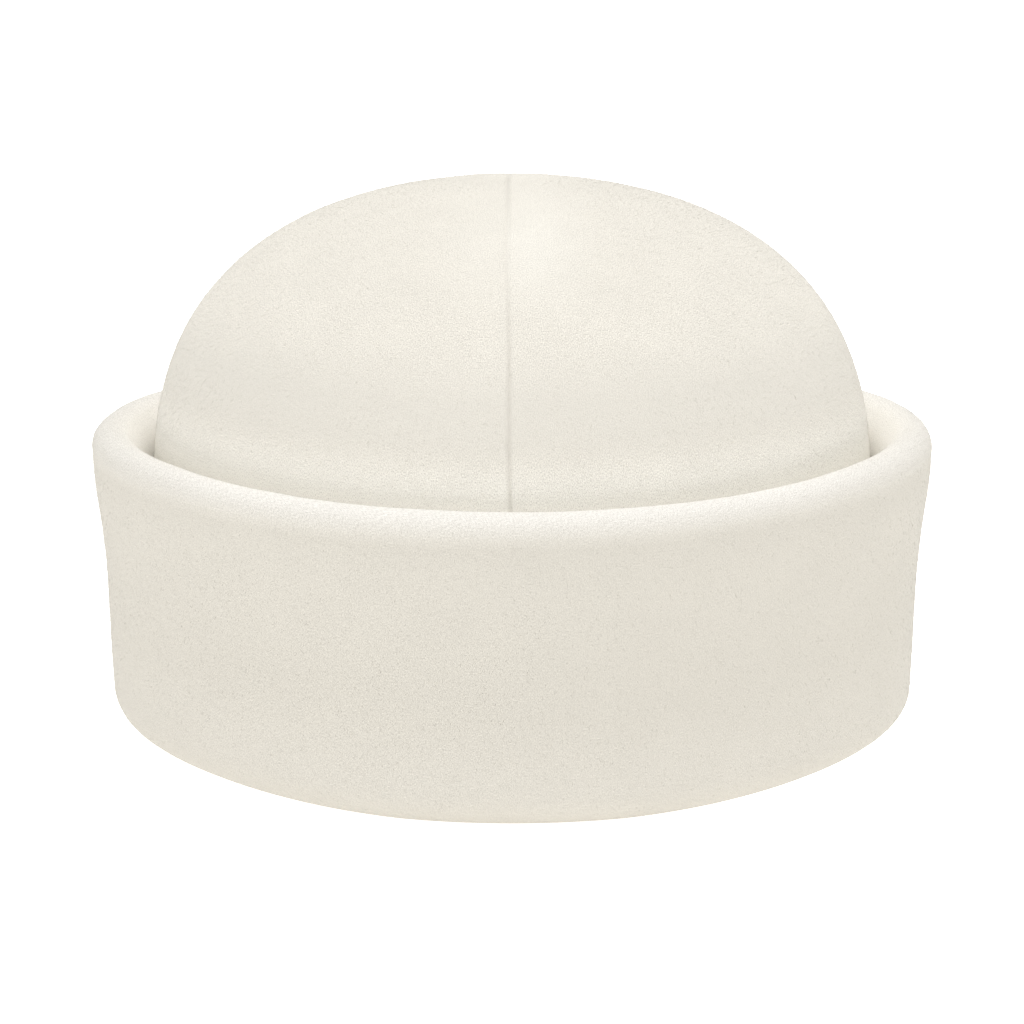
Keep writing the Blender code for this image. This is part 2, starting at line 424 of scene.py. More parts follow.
def crown_skin(sizes):
    """The whole outer face of the crown, still without its seam."""
    foot = sizes.felt + CLEARANCE
    rise = sizes.crown_top - sizes.wall_top
    profile = [(1.0, foot + (sizes.wall_top - foot) * row / WALL_ROWS) for row in range(WALL_ROWS)]
    for row in range(DOME_ROWS):
        angle = math.pi / 2 * row / DOME_ROWS
        share = math.cos(angle) ** (2 / WIDTH_POWER)
        profile.append((share, sizes.wall_top + rise * math.sin(angle) ** (2 / RISE_POWER)))
    profile.append((0.0, sizes.crown_top))
    lengths = lengths_along([(share * sizes.half_depth, height) for share, height in profile])
    marks = {
        "along": lengths,
        "nap": [shown_above(height, CROWN_NAP_FROM) for _, height in profile],
        # painted fill light under the cuff's shelter, lightening the shade in the gap
        "pale": [eased((GAP_LIGHT_TOP - height) / GAP_LIGHT_FADE) for _, height in profile],
        "seam": [0.0] * len(profile),
        # painted shade, darkest just above the cuff
        "painted_shade": [tabled(CROWN_PAINTED_SHADE, height) for _, height in profile],
    }
    bm = turned(profile, closed=False, marks=marks)
    for vert in bm.verts:
        share = math.hypot(vert.co.x, vert.co.y)
        turn = math.atan2(vert.co.y, vert.co.x)
        x, y = oval(turn, sizes, share)
        vert.co = (x, y, vert.co.z + lift(turn, vert.co.z, share))
    bmesh.ops.recalc_face_normals(bm, faces=bm.faces)
    return bm


def cut(bm, place, normal, clear=False, back_only=False):
    """A loop of edges where a plane crosses the mesh; with clear, what lies behind the plane goes."""
    faces = bm.faces[:]
    if back_only:
        faces = [face for face in faces if face.calc_center_median().y > 0]
    edges = dict.fromkeys(edge for face in faces for edge in face.edges)
    verts = dict.fromkeys(vert for face in faces for vert in face.verts)
    bmesh.ops.bisect_plane(
        bm, geom=[*verts, *edges, *faces], dist=CUT_REACH, plane_co=place, plane_no=normal, clear_inner=clear)


def inward_directions(bm, seam):
    """The way inward from the outer face at each vertex, level at the foot and square to the seam."""
    bm.normal_update()
    directions = {}
    for vert in bm.verts:
        direction = -vert.normal
        if vert.co.x < seam + 0.05 * MM:
            direction.x = 0
        if vert.is_boundary and vert.co.z < ALLOWANCE_FOOT / 2:
            direction.z = 0
        directions[vert.co.to_tuple(6)] = direction.normalized()
    return directions


def wall_thickness(place, sizes):
    """The wall, thicker where the seam allowance lies on its inner face."""
    beside_seam = place.x < ALLOWANCE_WIDTH + ALLOWANCE_EDGE / 2
    above_hem = place.z > ALLOWANCE_FOOT + ALLOWANCE_EDGE / 2
    return sizes.felt + (ALLOWANCE_THICKNESS if beside_seam and above_hem else 0.0)


def crown_relief(place, side, sizes, nap_room):
    """How far the outer face lies under the plain dome: the seam's roll, the puff beside it and waves."""
    depth = tabled(SEAM_LOOK, place.z)
    roll = sizes.seam_depth * depth * (1 - eased(place.x / sizes.seam_reach)) ** SEAM_ROLL_POWER
    puff = sizes.seam_puff * depth * bell((place.x - PUFF_ASIDE) / PUFF_SPREAD)
    here = Vector((place.x * side, place.y, place.z))
    shown = shown_above(place.z, CROWN_NAP_FROM)
    return roll + shown * (nap_room - puff - waves(here, sizes.unevenness, CROWN_WAVE))


def painted_puff_highlight(place, side):
    """How strong the painted highlight is where the puff beside the seam catches the light, more on the right.
    """
    share = PATCH_RIGHT if side > 0 else PATCH_LEFT
    beside = bell((place.x - PATCH_ASIDE) / PATCH_SPREAD)
    return share * beside * bell((place.z - PATCH_HEIGHT) / PATCH_TALL)


def seam_shift(place):
    """How far the seam wanders sideways, fading away from it."""
    return tabled(SEAM_WANDER, place.z) * MM * bell(place.x / WANDER_REACH)


def lay_map(bm, sector):
    """A UV map in metres that follows the nap, across it and along it, in sectors about the Z axis."""
    lay = bm.loops.layers.uv.new("lay")
    along = bm.verts.layers.float["along"]
    for face in bm.faces:
        centre = face.calc_center_median()
        turn = math.atan2(centre.y, centre.x)
        number = round(turn / sector)
        for loop in face.loops:
            place = loop.vert.co
            past = (math.atan2(place.y, place.x) - turn + math.pi) % math.tau - math.pi
            across = turn - number * sector + past
            radius = math.hypot(place.x, place.y)
            loop[lay].uv = (across * radius + number * SECTOR_STEP, loop.vert[along])


def crown_panel(side, sizes, nap_room):
    """One panel of the crown: side is 1 for the one at +X and -1 for the other."""
    seam = SEAM_GAP / 2
    bm = crown_skin(sizes)
    cut(bm, (seam, 0, 0), (1, 0, 0), clear=True)
    for reach in SEAM_LOOPS:
        cut(bm, (reach * MM, 0, 0), (1, 0, 0))
    for reach in (ALLOWANCE_WIDTH, ALLOWANCE_WIDTH + ALLOWANCE_EDGE):
        cut(bm, (reach, 0, 0), (1, 0, 0))
    for level in (ALLOWANCE_FOOT, ALLOWANCE_FOOT + ALLOWANCE_EDGE):
        cut(bm, (0, 0, level), (0, 0, 1))
    nap = bm.verts.layers.float["nap"]
    pale = bm.verts.layers.float["pale"]
    seam_shade_mark = bm.verts.layers.float["seam"]
    directions = inward_directions(bm, seam)
    outer = bm.verts[:]
    extruded = bmesh.ops.extrude_face_region(bm, geom=bm.faces[:], use_keep_orig=True)["geom"]
    inner = [part for part in extruded if isinstance(part, bmesh.types.BMVert)]
    for vert in inner:
        place = vert.co.copy()
        vert.co += directions[place.to_tuple(6)] * wall_thickness(place, sizes)
        vert[nap] = 0.0
    for vert in outer:
        place = vert.co.copy()
        # Painted shade along the seam's groove.
        vert[seam_shade_mark] = bell(place.x / SEAM_SHADE) * tabled(SEAM_LOOK, place.z, column=2)
        # A painted highlight on the puff beside the seam.
        vert[pale] += painted_puff_highlight(place, side)
        vert.co += directions[place.to_tuple(6)] * crown_relief(place, side, sizes, nap_room)
    bmesh.ops.scale(bm, vec=(side, 1, 1), verts=bm.verts)
    for vert in bm.verts:
        vert.co.x += seam_shift(vert.co)
    bmesh.ops.recalc_face_normals(bm, faces=bm.faces)
    lay_map(bm, CROWN_SECTOR)
    return bm


def arc(centre, radius, start, end, steps):
    """Points of an arc, with both its ends, as (out, height); angles are in degrees from the outward side."""
    points = []
    for step in range(steps + 1):
        angle = math.radians(start + (end - start) * step / steps)
        points.append((centre[0] + radius * math.cos(angle), centre[1] + radius * math.sin(angle)))
    return points


def wall_curve(column, foot, rim, shift=0.0):
    """The cuff's outer or inner face between two ends as (out, height), eased along its sections."""
    rows = [foot, *((row[column] * MM, row[0] * MM) for row in CUFF_SECTIONS), rim]
    outs, heights = zip(*rows)
    count = round((rim[1] - foot[1]) / SECTION_STEP)
    curve = []
    for level in np.linspace(foot[1], rim[1], count + 1)[1:-1]:
        reach = min(SECTION_SMOOTHING, level - foot[1], rim[1] - level)
        nearby = np.interp(level + reach * np.linspace(-1, 1, 9), heights, outs)
        curve.append((float(nearby.mean()) + shift, float(level)))
    return curve


def cuff_section(sizes):
    """The whole outline of the folded felt: its outer face, then the rest of it."""
    rim = sizes.rim_radius
    felt = sizes.felt
    foot_turn = arc((FOOT_OUT, FOOT_RADIUS), FOOT_RADIUS, -90, 0, 9)
    fold = arc((RIM_OUT, RIM_HEIGHT), rim, -RIM_LEAN, 180 - LEAF_LEAN, 22)
    leaf_foot = (CLEARANCE, LEAF_FOOT)
    outer_face = foot_turn + wall_curve(1, foot_turn[-1], fold[0]) + fold
    outer_face += reversed(wall_curve(2, leaf_foot, fold[-1]))
    slit = [leaf_foot, (CLEARANCE + felt, LEAF_FOOT)]
    slit += wall_curve(2, leaf_foot, fold[-1], felt)
    slit += arc((RIM_OUT, RIM_HEIGHT), rim - felt, 180 - LEAF_LEAN, -RIM_LEAN, 12)
    slit += reversed(wall_curve(1, foot_turn[-1], fold[0], -felt))
    slit += arc((FOOT_OUT, FOOT_RADIUS), FOOT_RADIUS - felt, 0, -90, 6)
    crown_inner = -felt - CLEARANCE
    hem = [(crown_inner, felt)]
    hem += arc((crown_inner - HEM_THICKNESS / 2, HEM_HEIGHT), HEM_THICKNESS / 2, 0, 180, 6)
    hem += arc((crown_inner - HEM_THICKNESS + HEM_CORNER, HEM_CORNER), HEM_CORNER, 180, 270, 4)
    return outer_face, slit + hem


def cuff(sizes, nap_room):
    """The turned-up band as one folded sheet of felt, open between its leaves at the inner leaf's foot."""
    outer_face, rest = cuff_section(sizes)
    section = outer_face + rest
    crest = RIM_HEIGHT + sizes.rim_radius
    shown, pale = [], []
    for index, (out, height) in enumerate(section):
        inner = out < RIM_OUT and height > FOOT_RADIUS
        on_face = index < len(outer_face)
        shown.append(shown_above(height, LEAF_NAP_FROM if inner else FOOT_NAP_FROM) if on_face else 0.0)
        # Painted light: a painted highlight on the fold outside, fading below its crest; a painted fill on the
        # inner leaf, full below its crest, lightening the gap's shade; a painted glow from the floor a little
        # above the foot.
        below = crest - height
        if inner:
            fold = CREST_SHARE + (1 - CREST_SHARE) * eased(below / LEAF_FADE)
        else:
            fold = CREST_SHARE * max(0.0, 1 - below / FOLD_FADE) ** FOLD_POWER
        fold = max(fold, FOOT_SHARE * eased(1 - height / FOOT_FADE) * eased(height / FOOT_TURN))
        pale.append(fold if on_face else 0.0)
    # Painted shade at the foot, darker towards the bottom where it turns under towards the floor.
    painted_darkening = [FOOT_PAINTED_SHADE * eased(1 - height / FOOT_TURN) for _, height in section]
    nothing = [0.0] * len(section)
    marks = {"along": lengths_along(section), "nap": shown, "pale": pale, "seam": nothing, "painted_shade": painted_darkening}
    bm = turned([(sizes.half_width + out, height) for out, height in section], closed=True, marks=marks)
    painted_light_mark = bm.verts.layers.float["pale"]
    # On its outer side the fold keeps less of its painted highlight towards the cap's sides.
    for vert in bm.verts:
        out = math.hypot(vert.co.x, vert.co.y) - sizes.half_width
        turn = math.atan2(vert.co.y, vert.co.x)
        sideways = 1 - min(1.0, CREST_FRONT * math.sin(turn) ** 2)
        outside = eased((out - RIM_OUT) / sizes.rim_radius + 1)
        vert[painted_light_mark] *= 1 - (1 - CREST_SIDE_SHARE) * sideways * outside
        x, y = oval(turn, sizes, out=out)
        vert.co = (x, y, vert.co.z + lift(turn, vert.co.z))
    for reach in JOIN_LOOPS:
        cut(bm, (reach * MM, 0, 0), (1, 0, 0), back_only=True)
        cut(bm, (-reach * MM, 0, 0), (1, 0, 0), back_only=True)
    bmesh.ops.recalc_face_normals(bm, faces=bm.faces)
    bm.normal_update()
    nap = bm.verts.layers.float["nap"]
    seam_shade_mark = bm.verts.layers.float["seam"]
    moves = []
    for vert in bm.verts:
        if vert[nap] > 0:
            # Painted shade along the cuff's join at the back.
            join = bell(vert.co.x / JOIN_REACH) if vert.co.y > 0 else 0.0
            vert[seam_shade_mark] = join
            relief = nap_room + JOIN_DEPTH * join - waves(vert.co, sizes.unevenness, CUFF_WAVE)
            moves.append((vert, vert.normal * -relief * vert[nap]))
    for vert, move in moves:
        vert.co += move
    lay_map(bm, math.tau)
    return bm


class Wiring:
    """Adds nodes to a tree, with their inputs set or linked by name or identifier."""

    def __init__(self, tree):
        self.tree = tree

    def add(self, kind, inputs=None, **settings):
        node = self.tree.nodes.new(kind)
        for name, value in settings.items():
            setattr(node, name, value)
        for name, value in (inputs or {}).items():
            socket = next(s for s in node.inputs if name in (s.identifier, s.name))
            if isinstance(value, bpy.types.NodeSocket):
                self.tree.links.new(value, socket)
            else:
                socket.default_value = value
        return node

    def maths(self, operation, first, second=0.0, third=0.0):
        inputs = {"Value": first, "Value_001": second, "Value_002": third}
        return self.add("ShaderNodeMath", inputs, operation=operation).outputs[0]

    def vectors(self, operation, first, second=(0.0, 0.0, 0.0)):
        inputs = {"Vector": first, "Vector_001": second}
        return self.add("ShaderNodeVectorMath", inputs, operation=operation).outputs[0]

    def scaled(self, vector, factor):
        inputs = {"Vector": vector, "Scale": factor}
        return self.add("ShaderNodeVectorMath", inputs, operation="SCALE").outputs[0]

    def speckle(self, vector, scale, detail=2.0, roughness=0.5):
        inputs = {"Vector": vector, "Scale": scale, "Detail": detail, "Roughness": roughness}
        return self.add("ShaderNodeTexNoise", inputs).outputs[0]

    def random(self, low, high, seed):
        inputs = {"Min_001": low, "Max_001": high, "Seed": seed}
        return self.add("FunctionNodeRandomValue", inputs, data_type="FLOAT").outputs[1]

    def blend(self, factor, first, second):
        inputs = {"Factor_Float": factor, "A_Color": first, "B_Color": second}
        return self.add("ShaderNodeMix", inputs, data_type="RGBA").outputs[2]


def scaled_colour(colour, factor):
    """A colour made lighter or darker, with its alpha."""
    return (*(min(1.0, channel * factor) for channel in colour), 1.0)


def wool_material(name, colour, painted_light_colour, mottle, finish):
    """Brushed wool felt: mottled, streaked along its nap, with painted light where the pale mark lies, painted
    shade low on the crown and at the foot, and painted shade in a seam.
    """
    material = bpy.data.materials.new(name)
    material.use_nodes = True
    wiring = Wiring(material.node_tree)
    shader = material.node_tree.nodes["Principled BSDF"]
    place = wiring.add("ShaderNodeTexCoord").outputs["Object"]
    lay = wiring.add("ShaderNodeUVMap", uv_map="lay").outputs[0]
    streaks = wiring.speckle(wiring.vectors("MULTIPLY", lay, (4600.0, 2600.0, 1.0)), 1.0, 2.0, 0.6)
    clumps = wiring.speckle(wiring.vectors("MULTIPLY", lay, (900.0, 330.0, 1.0)), 1.0, 2.0, 0.5)
    clouds = wiring.speckle(place, 70.0, 3.0, 0.55)
    fleck = wiring.maths("MULTIPLY_ADD", streaks, 3.0, wiring.maths("MULTIPLY_ADD", clumps, 0.2, -0.6))
    tone = wiring.maths("MULTIPLY_ADD", clouds, 0.2, wiring.maths("SUBTRACT", fleck, 0.6))
    dark = scaled_colour(colour, 1 - 1.6 * mottle)
    light = scaled_colour(colour, 1 + 1.6 * mottle)
    wool = wiring.blend(tone, dark, light)
    # Painted shade: darker low on the crown and at the cuff's foot.
    painted_shade = wiring.add("ShaderNodeAttribute", attribute_name="painted_shade").outputs["Fac"]
    wool = wiring.blend(wiring.maths("MULTIPLY", painted_shade, 0.7), wool, scaled_colour(colour, 0.88))
    # Painted light: a paler, ragged colour where the pale mark lies, as painted fill, highlight and floor glow.
    pale = wiring.add("ShaderNodeAttribute", attribute_name="pale").outputs["Fac"]
    ragged = wiring.maths("MULTIPLY", pale, wiring.maths("MULTIPLY_ADD", fleck, 1.3, -0.1))
    brightest_painted_light = scaled_colour(painted_light_colour, 1 / max(painted_light_colour))
    painted_light_wool = wiring.blend(tone, scaled_colour(painted_light_colour, 0.87), brightest_painted_light)
    wool = wiring.blend(ragged, wool, painted_light_wool)
    # Painted shade along the crown's seam and the cuff's join.
    seam = wiring.add("ShaderNodeAttribute", attribute_name="seam").outputs["Fac"]
    painted_darkening = wiring.maths("MULTIPLY", seam, wiring.maths("MULTIPLY", fleck, 0.3))
    wool = wiring.blend(painted_darkening, wool, scaled_colour(colour, 0.72))
    material.node_tree.links.new(wool, shader.inputs["Base Color"])
    relief = wiring.maths("MULTIPLY_ADD", clumps, 0.2, streaks)
    bump = wiring.add("ShaderNodeBump", {"Height": relief, "Strength": 0.6, "Distance": 0.15 * MM})
    material.node_tree.links.new(bump.outputs[0], shader.inputs["Normal"])
    shader.inputs["Roughness"].default_value = 0.92
    shader.inputs["Specular IOR Level"].default_value = 0.2
    shader.inputs["Sheen Weight"].default_value = finish.sheen
    shader.inputs["Sheen Roughness"].default_value = 0.6
    shader.inputs["Sheen Tint"].default_value = (1.0, 0.96, 0.88, 1.0)
    return material


def fibre_material(name, colour, painted_light_colour, finish):
    """Single fibres of the nap, each with a shade of its own."""
    material = bpy.data.materials.new(name)
    material.use_nodes = True
    wiring = Wiring(material.node_tree)
    shader = material.node_tree.nodes["Principled BSDF"]
    shade = wiring.add("ShaderNodeAttribute", attribute_name="shade").outputs["Fac"]
    wool = wiring.blend(shade, scaled_colour(colour, 0.95), scaled_colour(colour, 1.10))
    # Painted light: fibres take the paler colour where the felt is painted paler.
    pale = wiring.add("ShaderNodeAttribute", attribute_name="pale").outputs["Fac"]
    wool = wiring.blend(pale, wool, scaled_colour(painted_light_colour, 1.0))
    material.node_tree.links.new(wool, shader.inputs["Base Color"])
    shader.inputs["Roughness"].default_value = 0.85
    shader.inputs["Specular IOR Level"].default_value = 0.2
    shader.inputs["Sheen Weight"].default_value = finish.sheen
    return material


def thread_material(name, colour):
    """Sewing thread: twisted, a little shinier than the wool."""
    material = bpy.data.materials.new(name)
    material.use_nodes = True
    wiring = Wiring(material.node_tree)
    shader = material.node_tree.nodes["Principled BSDF"]
    place = wiring.add("ShaderNodeTexCoord").outputs["Object"]
    twist = wiring.add(
        "ShaderNodeTexWave", {"Vector": place, "Scale": 900.0, "Distortion": 1.5}, bands_direction="DIAGONAL")
    thread = wiring.blend(twist.outputs["Fac"], scaled_colour(colour, 0.88), scaled_colour(colour, 1.08))
    material.node_tree.links.new(thread, shader.inputs["Base Color"])
    shader.inputs["Roughness"].default_value = 0.6
    return material


def add_piece(name, mesh, material):
    """A finished mesh as a piece that rides on the cap's body."""
    mesh.name = name
    mesh.materials.append(material)
    piece = bpy.data.objects.new(name, mesh)
    bpy.context.scene.collection.objects.link(piece)
    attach(piece, "root")
    return piece


def mesh_of(bm):
    """A mesh from a bmesh, shaded smooth but for its turned edges."""
    mesh = bpy.data.meshes.new("felt")
    put_in_order(bm)
    bm.to_mesh(mesh)
    bm.free()
    mesh.shade_smooth()
    mesh.set_sharp_from_angle(angle=math.radians(50))
    return mesh


def shown_area(piece, keep):
    """The area that carries nap, in square metres, of the faces that keep accepts."""
    nap = piece.data.attributes["nap"].data
    total = 0.0
    for face in piece.data.polygons:
        if keep(face.center):
            total += face.area * sum(nap[vert].value for vert in face.vertices) / len(face.vertices)
    return total


def combing_nodes(fibres_per_area, seed, half, finish):
    """Geometry nodes that set fibres on the felt, combed down the crown or over the cuff's fold."""
    tree = bpy.data.node_groups.new("comb_nap", "GeometryNodeTree")
    tree.interface.new_socket(name="Geometry", in_out="INPUT", socket_type="NodeSocketGeometry")
    tree.interface.new_socket(name="Geometry", in_out="OUTPUT", socket_type="NodeSocketGeometry")
    wiring = Wiring(tree)
    felt = wiring.add("NodeGroupInput").outputs[0]
    nap = wiring.add("GeometryNodeInputNamedAttribute", {"Name": "nap"}, data_type="FLOAT").outputs[0]
    place = wiring.add("GeometryNodeInputPosition").outputs[0]
    density = wiring.maths("MULTIPLY", nap, fibres_per_area)
    if half:
        level = wiring.add("ShaderNodeSeparateXYZ", {"Vector": place}).outputs["Y"]
        side = wiring.maths("GREATER_THAN", wiring.maths("MULTIPLY", level, half), 0.0)
        density = wiring.maths("MULTIPLY", density, side)
    scatter = wiring.add(
        "GeometryNodeDistributePointsOnFaces", {"Mesh": felt, "Density": density, "Seed": seed},
        distribute_method="RANDOM")
    points, normal = scatter.outputs["Points"], scatter.outputs["Normal"]
    around = wiring.vectors("NORMALIZE", wiring.vectors("CROSS_PRODUCT", (0.0, 0.0, 1.0), place))
    down = wiring.vectors("CROSS_PRODUCT", around, normal)
    swirl = wiring.speckle(place, 90.0, 1.0, 0.5)
    stray = wiring.random(-FIBRE_STRAY, FIBRE_STRAY, seed + 1)
    sideways = wiring.maths("MULTIPLY_ADD", wiring.maths("SUBTRACT", swirl, 0.5), FIBRE_SWIRL, stray)
    least, most = (share * math.tan(finish.nap_rise) for share in FIBRE_RISES)
    rise = wiring.random(least, most, seed + 2)
    way = wiring.vectors("ADD", down, wiring.scaled(around, sideways))
    way = wiring.vectors("ADD", way, wiring.scaled(normal, rise))
    turn = wiring.add("FunctionNodeAlignRotationToVector", {"Vector": way}, axis="Z").outputs[0]
    long = wiring.random(*FIBRE_LENGTHS, seed + 3)
    thick = wiring.random(*FIBRE_WIDTHS, seed + 4)
    size = wiring.add("ShaderNodeCombineXYZ", {"X": thick, "Y": thick, "Z": long}).outputs[0]
    sunk = wiring.scaled(normal, -FIBRE_ROOT)
    rooted = wiring.add("GeometryNodeSetPosition", {"Geometry": points, "Offset": sunk}).outputs[0]
    fibre = wiring.add(
        "GeometryNodeMeshCone",
        {"Vertices": 3, "Side Segments": 1, "Radius Top": 0.0, "Radius Bottom": finish.nap_radius,
         "Depth": finish.nap_length},
        fill_type="NONE").outputs["Mesh"]
    planted = wiring.add(
        "GeometryNodeInstanceOnPoints",
        {"Points": rooted, "Instance": fibre, "Rotation": turn, "Scale": size})
    own = wiring.random(0.0, 1.0, seed + 5)
    patch = wiring.speckle(place, 260.0, 2.0, 0.5)
    shade = wiring.maths("MULTIPLY_ADD", own, 0.6, wiring.maths("MULTIPLY", patch, 0.4))
    shaded = wiring.add(
        "GeometryNodeStoreNamedAttribute", {"Geometry": planted.outputs[0], "Name": "shade", "Value": shade},
        data_type="FLOAT", domain="INSTANCE")
    joined = wiring.add("GeometryNodeRealizeInstances", {"Geometry": shaded.outputs[0]}).outputs[0]
    wiring.add("NodeGroupOutput", {"Geometry": joined})
    return tree


def bake_cells(mesh):
    """A UV map with a cell for each fibre, whose three faces meet at its tip in the cell's middle."""
    loops = np.empty(len(mesh.loops), np.int32)
    mesh.loops.foreach_get("vertex_index", loops)
    fibres = len(mesh.vertices) // 4
    uses = np.bincount(loops[:9] % 4, minlength=4)
    tip = int(np.argmax(uses))
    corners = [(0.06, 0.06), (0.94, 0.06), (0.5, 0.92)]
    spots = np.zeros((4, 2))
    spots[tip] = (0.5, 0.35)
    spots[[spot for spot in range(4) if spot != tip]] = corners
    across = math.ceil(math.sqrt(fibres))
    number = loops // 4
    cell = np.stack([number % across, number // across], axis=1)
    uv = (cell + spots[loops % 4]) / across
    mesh.uv_layers.new(name="OFBake").data.foreach_set("uv", uv.ravel().astype(np.float32))


def comb(name, felt, count, seed, material, half=0):
    """The nap on one piece of felt, as one mesh of fibres; half is -1 for its front and 1 for its back."""
    finish = bpy.context.scene.wool_finish
    area = shown_area(felt, lambda centre: half == 0 or centre.y * half > 0)
    source = bpy.data.objects.new("combing", felt.data)
    bpy.context.scene.collection.objects.link(source)
    modifier = source.modifiers.new("comb", "NODES")
    modifier.node_group = combing_nodes(count / area, seed, half, finish)
    bpy.context.view_layer.update()
    made = source.evaluated_get(bpy.context.evaluated_depsgraph_get())
    mesh = bpy.data.meshes.new_from_object(made)
    bpy.data.objects.remove(source)
    if len(mesh.vertices) < count * 2:
        raise RuntimeError(f"{name} has {len(mesh.vertices)} vertices, far from the {count} fibres asked for")
    places = np.empty(len(mesh.vertices) * 3, np.float32)
    mesh.vertices.foreach_get("co", places)
    places[2::3] = np.maximum(places[2::3], FLOOR_ROOM)
    mesh.vertices.foreach_set("co", places)
    mesh.shade_smooth()
    bake_cells(mesh)
    mesh.materials.clear()
    return add_piece(name, mesh, material)


def stitch_row(bm, places, length, thickness):
    """A running stitch through (place, along, out) rows: each stitch a small grain sunk in the felt."""
    for place, along, out in places:
        grain = bmesh.ops.create_uvsphere(bm, u_segments=6, v_segments=6, radius=0.5)["verts"]
        side = along.cross(out).normalized()
        turn = Matrix((along.normalized(), side, out.normalized())).transposed().to_4x4()
        size = Matrix.Diagonal((length, thickness, thickness, 1))
        bmesh.ops.transform(bm, matrix=Matrix.Translation(place) @ turn @ size, verts=grain)


def evenly(points, step):
    """Places at even steps along a line of (place, out) rows, with the line's direction there."""
    rows, since = [], 0.0
    for (here, out), (there, _) in zip(points, points[1:]):
        since += (there - here).length
        if since >= step:
            since -= step
            rows.append((here, there - here, out))
    return rows


def hem_line(felt, height):
    """Points round the hem's inner face, found on the felt from inside."""
    tree = BVHTree.FromObject(felt, bpy.context.evaluated_depsgraph_get())
    points = []
    for step in range(1441):
        turn = math.tau * step / 1440
        way = Vector((math.cos(turn), math.sin(turn), 0))
        place, normal, _, _ = tree.ray_cast(Vector((0, 0, height + lift(turn, height))), way)
        points.append((place, normal))
    return points


def allowance_line(felt, aside):
    """Points along a seam allowance inside the crown, found on the felt from inside."""
    tree = BVHTree.FromObject(felt, bpy.context.evaluated_depsgraph_get())
    points = []
    for step in range(1201):
        turn = math.radians(-14 + 208 * step / 1200)
        way = Vector((0, -math.cos(turn), math.sin(turn)))
        place, normal, _, _ = tree.ray_cast(Vector((aside, 0, 48 * MM)), way)
        points.append((place, normal))
    return points


def soft_lamp(name, place, size, power):
    """A square soft lamp that shines on the cap."""
    lamp = bpy.data.lights.new(name, "AREA")
    lamp.energy = power
    lamp.size = size
    holder = bpy.data.objects.new(name, lamp)
    holder.location = place
    holder.rotation_euler = (LAMP_AIM - holder.location).to_track_quat("-Z", "Y").to_euler()
    bpy.context.scene.collection.objects.link(holder)


class CAP_OT_make_crown(bpy.types.Operator):
    """Makes the crown's two felt panels, joined by a seam from front to back"""

    bl_idname = "cap.make_crown"
    bl_label = "Make Crown"

    def execute(self, context):
        sizes, finish = context.scene.cap_sizes, context.scene.wool_finish
        for side, node in ((-1, "crown_left"), (1, "crown_right")):
            mesh = mesh_of(crown_panel(side, sizes, finish.nap_room))
            material = wool_material(
                f"wool_{node}", finish.crown_colour, finish.crown_painted_light_colour, finish.crown_mottle, finish)
            piece = add_piece(f"felt_{node}", mesh, material)
            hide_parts(node)
        return {"FINISHED"}


class CAP_OT_make_cuff(bpy.types.Operator):
    """Makes the deep turned-up cuff of doubled felt"""

    bl_idname = "cap.make_cuff"
    bl_label = "Make Cuff"

    def execute(self, context):
        sizes, finish = context.scene.cap_sizes, context.scene.wool_finish
        mesh = mesh_of(cuff(sizes, finish.nap_room))
        material = wool_material(
            "wool_cuff", finish.cuff_shaded_colour, finish.cuff_painted_light_colour, finish.cuff_mottle, finish)
        piece = add_piece("felt_cuff", mesh, material)
        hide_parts("cuff")
        return {"FINISHED"}


class CAP_OT_comb_nap(bpy.types.Operator):
    """Sets short fibres on the felt, combed down the crown and over the cuff"""

    bl_idname = "cap.comb_nap"
    bl_label = "Comb Nap"

    def execute(self, context):
        finish = context.scene.wool_finish
        crown_fibre = fibre_material("fibre_crown", finish.crown_colour, finish.crown_painted_light_colour, finish)
        cuff_fibre = fibre_material("fibre_cuff", finish.cuff_shaded_colour, finish.cuff_painted_light_colour, finish)
        for seed, side in ((10, "left"), (20, "right")):
            felt = bpy.data.objects[f"felt_crown_{side}"]
            comb(f"nap_crown_{side}", felt, finish.crown_fibres, seed, crown_fibre)
        for seed, half, end in ((30, -1, "front"), (40, 1, "back")):
            felt = bpy.data.objects["felt_cuff"]
            comb(f"nap_cuff_{end}", felt, finish.cuff_fibres, seed, cuff_fibre, half)
        return {"FINISHED"}


class CAP_OT_sew(bpy.types.Operator):
    """Sews the hem and the crown's seam allowances down inside, with plain running stitches"""

    bl_idname = "cap.sew"
    bl_label = "Sew"

    def execute(self, context):
        finish = context.scene.wool_finish
        bm = bmesh.new()
        line = hem_line(bpy.data.objects["felt_cuff"], HEM_STITCH_HEIGHT)
        stitch_row(bm, evenly(line, HEM_STITCH_STEP), *HEM_STITCH)
        material = thread_material("thread_cream", finish.cuff_shaded_colour)
        add_piece("thread_hem", mesh_of(bm), material)
        bm = bmesh.new()
        for side, aside in (("left", -ALLOWANCE_STITCH_ASIDE), ("right", ALLOWANCE_STITCH_ASIDE)):
            line = allowance_line(bpy.data.objects[f"felt_crown_{side}"], aside)
            stitch_row(bm, evenly(line, ALLOWANCE_STITCH_STEP), *ALLOWANCE_STITCH)
        add_piece("thread_allowances", mesh_of(bm), material)
        return {"FINISHED"}


class CAP_OT_declare_felt(bpy.types.Operator):
    bl_idname = "cap.declare_felt"
    bl_label = "Declare Felt"

    def execute(self, context):
        return {"FINISHED"}


